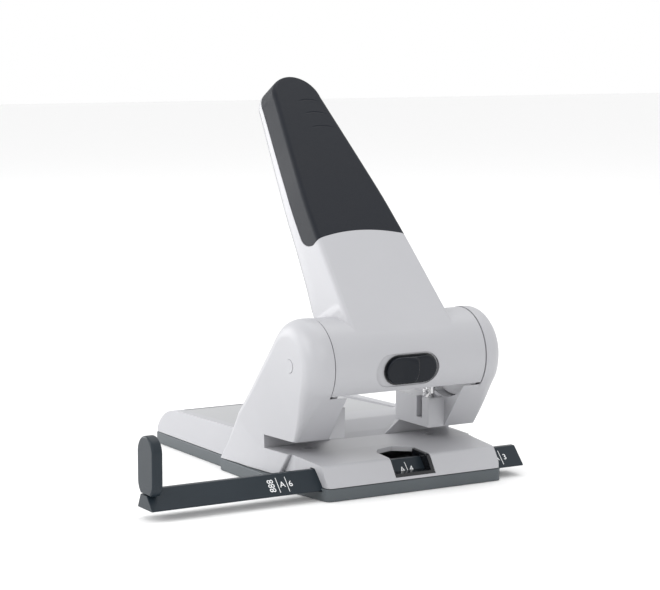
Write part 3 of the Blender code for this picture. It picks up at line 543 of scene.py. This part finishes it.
def button():
    """The lock's slide: a round-ended plate with a thumb ridge across it, and under it a black
    plate whose rim is painted shade in the gap round the button.
    """
    rings = []
    half_length, half_height, rim = 15.6, 7.4, 0.9
    run = half_length - half_height
    base, face = BARREL_R - 1.7, BARREL_R + 0.9
    ends = half_length - 3.2 * (1 - np.cos(np.linspace(0.12, 1.5, 9)))
    for u in np.concatenate([-ends, np.linspace(-12.2, 12.2, 70), ends[::-1]]):
        over = max(0.0, abs(u) - run)
        high = math.sqrt(half_height ** 2 - over ** 2)
        ring = []
        for k in range(25):
            v = high * math.sin(math.pi * (k / 24 - 0.5))
            edge = min(1.0, (half_height - math.hypot(over, v)) / rim)
            drop = rim * (1 - math.sqrt(max(0.0, 1 - (1 - edge) ** 2)))
            ring.append((v, face + button_height(u, v) - drop))
        ring += [(high, base), (-high, base)]
        rings.append([on_lock(u, v, w) for v, w in ring])
    made = loft("lock_button_look", rings)
    finish(made, BUTTON_PLASTIC, "dark_plastic", "lock", "lock_button", smooth=50)
    # Black plate a little larger than the button: its rim is painted shade, standing in for the
    # shadow in the gap round the button.
    painted_gap_shade = prism("lock_button_painted_gap_shade_look", stadium((0.0, 0.0), 16.5, 8.25), on_lock,
                BARREL_R - 2.15, BARREL_R - 1.3)
    soften(painted_gap_shade, 0.15, 2, 50)
    finish(painted_gap_shade, BLACK, "dark_plastic", "lock")


button()


# ---------------------------------------------------------------- arms
WALL_SLOPE = 0.753              # the front wall's run back for each millimetre down
REAR_LEAN = 40.5                # the arms' rear edge, in degrees from the vertical
SLIT_TOP = 27.0                 # top of the paper throat


def wall_y(z):
    """Y of the arms' front wall at height z."""
    return -38.15 + (53.8 - z) * WALL_SLOPE


def arm_outline():
    """Side view as (y, z, rim): front wall, round head, leaning neck and lower rear edge."""
    head = (PIVOT.y, PIVOT.z)
    points = [(wall_y(z), z, rim) for z, rim in
              ((-14.0, 1.0), (8.0, 1.0), (19.6, 1.2), (27.0, 1.8), (34.0, 3.0), (42.0, 5.5),
               (49.0, 8.4))]
    for k in range(49):
        turn = 217.0 + (REAR_LEAN - 217.0) * k / 48
        y = head[0] + ARM_HEAD_R * math.cos(math.radians(turn))
        z = head[1] + ARM_HEAD_R * math.sin(math.radians(turn))
        rim = float(np.interp(turn, (REAR_LEAN, 80.0, 130.0, 190.0, 217.0),
                              (8.0, 9.5, 11.5, 11.5, 10.2)))
        points.append((y, z, rim))
    y, z = points[-1][:2]
    slope = math.tan(math.radians(REAR_LEAN))
    points += [(y + (z - low) * slope, low, rim) for low, rim in ((70.0, 7.5), (50.0, 6.5))]
    bend = rounded([(y + (z - 55.0) * slope, 55.0, 0), (y + (z - 34.0) * slope, 34.0, 16.0),
                    (51.0, 17.5, 0)], 8)[1:-1]
    points += [(u, v, 5.0) for u, v in bend]
    return points + [(51.0, 17.5, 2.6), (55.6, 7.0, 0.8), (64.0, -14.0, 0.8)]


def arm_side(y, z):
    """X of the arm's outer face: it draws in at the toe and spreads down to the tray."""
    toe = min(1.0, max(0.0, (56.0 - z) / 29.0)) * min(1.0, max(0.0, (20.0 - y) / 38.0))
    skirt = max(0.0, 22.0 - z) / 15.0 * min(1.0, max(0.0, (y + 5.0) / 40.0))
    return ARM_OUTER - 3.6 * toe + 3.0 * skirt


def mirrored(sign, low, high):
    """A range along X on one side."""
    return (low, high) if sign > 0 else (-high, -low)


def arm_plate(name, sign):
    """The arm's outer plate, with a rim whose radius changes along the outline."""
    outline = np.array(arm_outline())
    flat = outline[:, :2]
    along = np.roll(flat, -1, axis=0) - np.roll(flat, 1, axis=0)
    along[0] = flat[1] - flat[0]
    along[-1] = flat[-1] - flat[-2]
    along /= np.linalg.norm(along, axis=1)[:, None]
    inward = np.stack([along[:, 1], -along[:, 0]], axis=1)
    rings = [[(sign * ARM_INNER, y, z) for y, z in flat]]
    for turn in (0, 10, 20, 30, 40, 50, 60, 70, 80, 90):
        t = math.radians(turn)
        ring = []
        for (y, z, rim), (ny, nz) in zip(outline, inward):
            pull = rim * (1 - math.cos(t))
            y_in, z_in = y + ny * pull, z + nz * pull
            ring.append((sign * (arm_side(y_in, z_in) - rim * (1 - math.sin(t))), y_in, z_in))
        rings.append(ring)
    made = loft(name, rings)
    shape = bmesh.new()
    shape.from_mesh(made.data)
    bmesh.ops.triangulate(shape, faces=[f for f in shape.faces if len(f.verts) > 4])
    shape.to_mesh(made.data)
    shape.free()
    return made


def arm(side, sign):
    """One arm: outer plate, front wall, pin block and riser, opened for what it holds."""
    made = arm_plate(side + "_arm_look", sign)
    wall = [(wall_y(27.0), 27.0), (wall_y(53.6), 53.6), (-31.0, 53.6), (-24.0, 46.0),
            (10.0, 46.0), (16.0, 40.0), (16.0, -14.0), (12.7, -14.0), (12.7, 27.0)]
    foot = prism("foot", wall, side_view, *mirrored(sign, 37.2, ARM_INNER + 2.0))
    combine(made, "UNION", foot)
    low, high = mirrored(sign, 27.0, 37.8)
    combine(made, "UNION", block("pin_block", (low, -18.0, 27.05), (high, 15.9, 43.4)))
    low, high = mirrored(sign, 27.0, 37.6)
    combine(made, "UNION", block("riser", (low, 12.66, 2.0), (high, 15.8, 30.0)))
    low, high = mirrored(sign, 20.0, 90.0)
    ground = block("ground", (low, -70.0, -40.0), (high, 90.0, BODY_BOTTOM))
    slit = prism("slit", [(sign * 38.5, -60.0), (sign * 38.5, 12.62), (sign * 49.0, 12.62),
                          (sign * 70.0, 11.0), (sign * 70.0, -60.0)], plan, TABLE_TOP, SLIT_TOP)
    low, high = mirrored(sign, 30.0, 56.6)
    table_side = block("table_side", (low, -60.0, 0.0), (high, 12.2, TABLE_TOP + 1.0))
    inside = ARM_INNER - 0.1
    sweep = rod("barrel_room", "X", (sign * inside / 2, PIVOT.y, PIVOT.z), BARREL_R + 0.06,
                inside, 96)
    cap = rod("cap_seat", "X", (sign * 60.8, PIVOT.y, PIVOT.z), 3.65, 2.6, 32)
    low, high = mirrored(sign, 26.0, 30.2)
    slot = block("slot", (low, -11.4, 31.6), (high, -5.8, 50.0))
    stud = rod("stud_hole", "Z", (sign * 32.2, -13.0, 43.0), 1.9, 16.0, 24)
    pin = rod("pin_hole", "Z", (sign * PIN_X, 0.0, 38.0), 4.8, 40.0, 32)
    combine(made, "DIFFERENCE", ground, slit, table_side, sweep, cap, slot, stud, pin)
    tidy(made)
    soften(made, 0.35, 2, 42)
    finish(made, LACQUER, "light_grey_lacquer", "base", side + "_arm", smooth=32)


arm("left", -1)
arm("right", 1)


# ---------------------------------------------------------------- table
# side view of the channel that the guide bar slides in
BAR_ROOM = [(-43.5, 4.8), (-25.1, 4.8), (-30.1, 15.7), (-34.0, 15.7)]
# plan of the scale window, as corners (x, y, radius)
WINDOW = [(-12.5, -62.0, 0), (13.0, -62.0, 0), (13.0, -25.0, 0.8), (2.0, -18.6, 1.0),
          (-8.5, -21.6, 1.0), (-12.5, -27.0, 0.8)]


def table_outline(inset=0.0):
    """Plan of the table, between the arms and round its front corners."""
    right = [(56.8 - inset, 11.6, 0), (56.8 - inset, -16.0, 2.0), (56.2 - inset, -20.0, 3.0),
             (54.9 - inset, -40.0, 4.0), (55.2 - inset, -48.0 + inset, 3.4)]
    left = [(-u, v, r) for u, v, r in reversed(right)]
    return rounded(right + left, 5)


def table_profile(lower=0.0):
    """Side view of the table: a sloping apron in front and an almost level top."""
    front, under = -48.0 + lower, BODY_BOTTOM - lower - 4.0
    return rounded([(front, under, 0), (front, 6.6 - lower, 0),
                    (-40.6 + lower * 0.7, 17.9 - lower, 3.2), (-14.0, TABLE_TOP - lower, 30.0),
                    (30.0, TABLE_TOP - lower, 0), (30.0, under, 0)], 6)


def table():
    """The hollow table that the paper lies on, and the dark liner of its scale window."""
    made = prism("table_look", table_outline(), plan, 2.0, 30.0)
    combine(made, "INTERSECT", prism("profile", table_profile(), side_view, -80.0, 80.0))
    soften(made, 0.9, 3, 40)
    settle(made)
    hollow = prism("hollow", table_outline(2.5), plan, -2.0, 29.0)
    combine(hollow, "INTERSECT", prism("inside", table_profile(2.5), side_view, -80.0, 80.0))
    combine(made, "DIFFERENCE", block("below", (-80, -70, -10), (80, 40, BODY_BOTTOM)), hollow)
    room = prism("bar_room", BAR_ROOM, side_view, -80.0, 80.0)
    window = prism("window", rounded(WINDOW, 4), plan, 8.3, 30.0)
    combine(made, "DIFFERENCE", room, window)
    for x in (-PIN_X, PIN_X):
        combine(made, "DIFFERENCE", rod("die_seat", "Z", (x, 0.0, 16.0), 4.75, 12.0, 40))
    tidy(made)
    soften(made, 0.3, 2, 42)
    finish(made, LACQUER, "light_grey_lacquer", "base", "table_plate", smooth=32)

    liner = block("scale_window_look", (-12.4, -60.0, 8.35), (12.9, -34.0, 9.9))
    for low, high in ((-12.4, -11.7), (10.9, 12.9)):
        combine(liner, "UNION", block("cheek", (low, -60.0, 8.4), (high, -26.2, 30.0)))
    combine(liner, "INTERSECT", prism("under_top", table_profile(0.3), side_view, -30.0, 30.0))
    combine(liner, "DIFFERENCE", prism("bar_room", BAR_ROOM, side_view, -80.0, 80.0))
    tidy(liner)
    soften(liner, 0.2, 2, 42)
    finish(liner, BLACK, "clear_plastic", "base", "scale_lens", smooth=32)


table()


# ---------------------------------------------------------------- rear deck
def deck():
    """The rear deck, its tongue that rises between the arms, and the panel in its top."""
    half = [(DECK_SIDE, 42.0, 0), (DECK_SIDE, DECK_REAR, 1.6)]
    outline = rounded(half + [(-u, v, r) for u, v, r in reversed(half)], 8)
    profile = [(40.0, 2.0), (40.0, 25.1), (113.0, 23.4), (121.0, 23.0), (126.5, 22.2),
               (131.0, 21.0), (135.0, 19.2), (138.5, 16.9), (141.3, 14.4), (143.4, 11.8),
               (145.0, 9.2), (145.9, 6.4), (DECK_REAR, 2.0)]
    made = prism("rear_cover_look", outline, plan, 1.0, 40.0)
    combine(made, "INTERSECT", prism("profile", profile, side_view, -80.0, 80.0))
    soften(made, 4.2, 6, 50)
    settle(made)
    side = [(26.7, 12.3), (26.7, 16.3), (47.9, 16.3), (47.9, 60.0)]
    tongue = prism("tongue", side + [(-u, v) for u, v in reversed(side)], plan, 1.0, 40.0)
    rise = rounded([(12.3, 1.0, 0), (12.3, 19.4, 0), (18.0, 21.4, 5.0), (34.0, 25.4, 12.0),
                    (60.0, 24.52, 0), (60.0, 1.0, 0)], 5)
    combine(tongue, "INTERSECT", prism("rise", rise, side_view, -80.0, 80.0))
    for sign in (-1, 1):
        gusset = prism("gusset", [(sign * 17.7, 12.35), (sign * 27.4, 12.35), (sign * 27.4, 16.2)],
                       plan, 19.0, 27.0)
        for vert in gusset.data.vertices:
            if abs(vert.co.x) < 20.0 * MM and vert.co.z > 20.0 * MM:
                vert.co.z = 19.5 * MM
        combine(tongue, "UNION", gusset)
    combine(made, "UNION", tongue)
    combine(made, "DIFFERENCE", block("below", (-80, 0, -10), (80, 170, BODY_BOTTOM)))
    tilt = math.atan((24.9 - 22.0) / 76.0)

    def top(u, v, w):
        """u across, v back along the deck's sloping top, w above it."""
        return (u, 93.0 + v * math.cos(tilt) + w * math.sin(tilt),
                23.25 - v * math.sin(tilt) + w * math.cos(tilt))

    panel = rounded([(54.5, -35.0, 2.0), (54.5, 35.5, 5.0), (-54.5, 35.5, 5.0),
                     (-54.5, -35.0, 2.0)], 6)
    combine(made, "DIFFERENCE", prism("recess", panel, top, -0.9, 9.0))
    tidy(made)
    soften(made, 0.3, 2, 42)
    finish(made, SHELL_PLASTIC, "light_grey_plastic", "base", "rear_cover", smooth=32)
    inlay = prism("deck_panel_look", rounded([(54.0, -34.5, 2.0), (54.0, 35.0, 4.6),
                                              (-54.0, 35.0, 4.6), (-54.0, -34.5, 2.0)], 6),
                  top, -1.3, -0.55)
    soften(inlay, 0.2, 2, 42)
    finish(inlay, PANEL, "light_grey_plastic", "base", smooth=32)


deck()


# ---------------------------------------------------------------- chip tray
def tray():
    """The shallow chip tray under the whole body, with a channel for the guide bar."""
    right = [(55.3, -48.0, 3.4), (59.6, -20.0, 0), (64.6, -8.0, 2.0), (64.6, ARM_REAR - 0.4, 0.8),
             (60.4, ARM_REAR - 0.4, 0.4), (60.4, 146.5, 1.8)]
    outline = rounded(right + [(-u, v, r) for u, v, r in reversed(right)], 6)
    made = prism("chip_tray_look", outline, plan, 0.0, 6.6)
    soften(made, 0.6, 3, 50)
    settle(made)
    inner = [(u - 2.4, v + (2.4 if v < 0 else -2.4), r) for u, v, r in
             [(55.3, -48.0, 2.0), (59.6, -20.0, 0), (60.4, 146.5, 7.0)]]
    hollow = prism("hollow", rounded(inner + [(-u, v, r) for u, v, r in reversed(inner)], 4),
                   plan, 2.2, 20.0)
    combine(made, "DIFFERENCE", hollow, prism("bar_room", BAR_ROOM, side_view, -80.0, 80.0))
    for x, y in ((44.0, -20.0), (48.0, 128.0)):
        for sign in (-1, 1):
            combine(made, "DIFFERENCE", rod("pocket", "Z", (sign * x, y, 0.0), 7.8, 2.8, 40))
    tidy(made)
    soften(made, 0.25, 2, 42)
    finish(made, TRAY_PLASTIC, "dark_plastic", "tray", "chip_tray", smooth=32)


tray()


# ---------------------------------------------------------------- guide bar and its marks
def guide_bar():
    """The sliding bar, and the upright stop at its left end with a dished inner face."""
    section = rounded([(-43.1, 5.2, 0.5), (-25.5, 5.2, 0.5), (-30.5, 15.3, 0.9),
                       (-33.8, 15.3, 0.9)], 4)
    made = prism("guide_bar_look", section, side_view, BAR_LEFT, BAR_RIGHT)
    soften(made, 0.4, 3, 60)
    settle(made)
    combine(made, "DIFFERENCE", block("notch", (BAR_LEFT - 2, -50, 12.5),
                                      (BAR_LEFT + 6.4, -20, 20)))
    tidy(made)
    finish(made, BAR_PLASTIC, "bar_plastic", "guide", "guide_bar", smooth=32)

    half, middle = 8.9, -34.6
    upper = PADDLE_TOP - half
    outline = [(y, max(z, PADDLE_LOW)) for y, z in
               arc((middle, upper), half, 0, 180, 36) + arc((middle, 19.7), half, 180, 360, 36)]
    paddle = prism("stop_paddle_look", outline, side_view, BAR_LEFT, BAR_LEFT + PADDLE_THICK)
    tidy(paddle, 0.05)
    soften(paddle, 1.1, 4, 50)
    settle(paddle)
    dish = arc((middle, upper), half - 2.6, 0, 180, 30)
    dish += arc((middle, 20.2), half - 2.6, 180, 360, 30)
    combine(paddle, "DIFFERENCE", prism("dish", dish, side_view, BAR_LEFT + 5.5, BAR_LEFT + 9.0))
    soften(paddle, 0.3, 2, 45)
    finish(paddle, BAR_PLASTIC, "bar_plastic", "guide", "stop_paddle", smooth=32)


def stroke(name, u):
    """A printed line across the bar's sloping face."""
    left, right, low, high = u - 0.17, u + 0.17, 2.4, 11.4
    made = prism(name, [(left, low), (right, low), (right, high), (left, high)], on_slope,
                 -0.02, 0.05)
    finish(made, PRINT, "bar_plastic", "guide")


def figure(name, text, u, size=4.9, turn=0.0):
    """Printed letters or figures centred at u on the bar's sloping face."""
    curve = bpy.data.curves.new(name, "FONT")
    curve.body = text
    curve.size = size * MM
    curve.align_x = "CENTER"
    curve.align_y = "CENTER"
    curve.extrude = 0.035 * MM
    curve.resolution_u = 6
    drawn = bpy.data.objects.new(name + "_text", curve)
    bpy.context.scene.collection.objects.link(drawn)
    bpy.context.view_layer.update()
    mesh = bpy.data.meshes.new_from_object(
        drawn.evaluated_get(bpy.context.evaluated_depsgraph_get()))
    bpy.data.objects.remove(drawn, do_unlink=True)
    spin = Matrix.Rotation(math.radians(turn), 3, "Z")
    for vert in mesh.vertices:
        flat = spin @ vert.co / MM
        vert.co = Vector(on_slope(u + flat.x, 6.9 + flat.y, flat.z + 0.02)) * MM
    made = bpy.data.objects.new(name, mesh)
    bpy.context.scene.collection.objects.link(made)
    finish(made, PRINT, "bar_plastic", "guide")


guide_bar()
for number, spot in enumerate((-80.0, -74.5, 0.0, 61.5)):
    stroke("format_line_%d" % number, spot)
figure("format_888", "888", -83.6, 5.2, 90.0)
figure("format_a6_a", "A", -77.3)
figure("format_a6_6", "6", -72.4)
figure("format_a4_a", "A", -2.9)
figure("format_a4_4", "4", 2.7)
figure("format_a3_a", "A", 58.6)
figure("format_a3_3", "3", 64.2)


# ---------------------------------------------------------------- CAD pieces that stay
def dress(material, nodes, ease=0.2):
    """A finished material and eased edges for CAD nodes whose shape is right."""
    for name in nodes:
        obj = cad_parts[name]
        for slot in obj.material_slots:
            slot.link = "OBJECT"
            slot.material = material
        if ease:
            soften(obj, ease, 2, 50)


dress(LACQUER, ["die_left", "die_right"])
dress(STEEL, ["pin_bush_left", "pin_bush_right", "base_plate", "axle",
              "stop_stud_left", "stop_stud_right", "lock_bolt", "punch_lever_left",
              "punch_lever_right", "punch_pin_left", "punch_pin_right", "frame_screw_1",
              "frame_screw_2", "frame_screw_3", "frame_screw_4"])
dress(SPRING, ["pin_spring_left", "pin_spring_right", "return_spring", "detent_spring"], 0.0)
dress(LACQUER, ["axle_cap_left", "axle_cap_right"], 0.35)
dress(RUBBER, ["antislip_pad_1", "antislip_pad_2", "antislip_pad_3", "antislip_pad_4"])
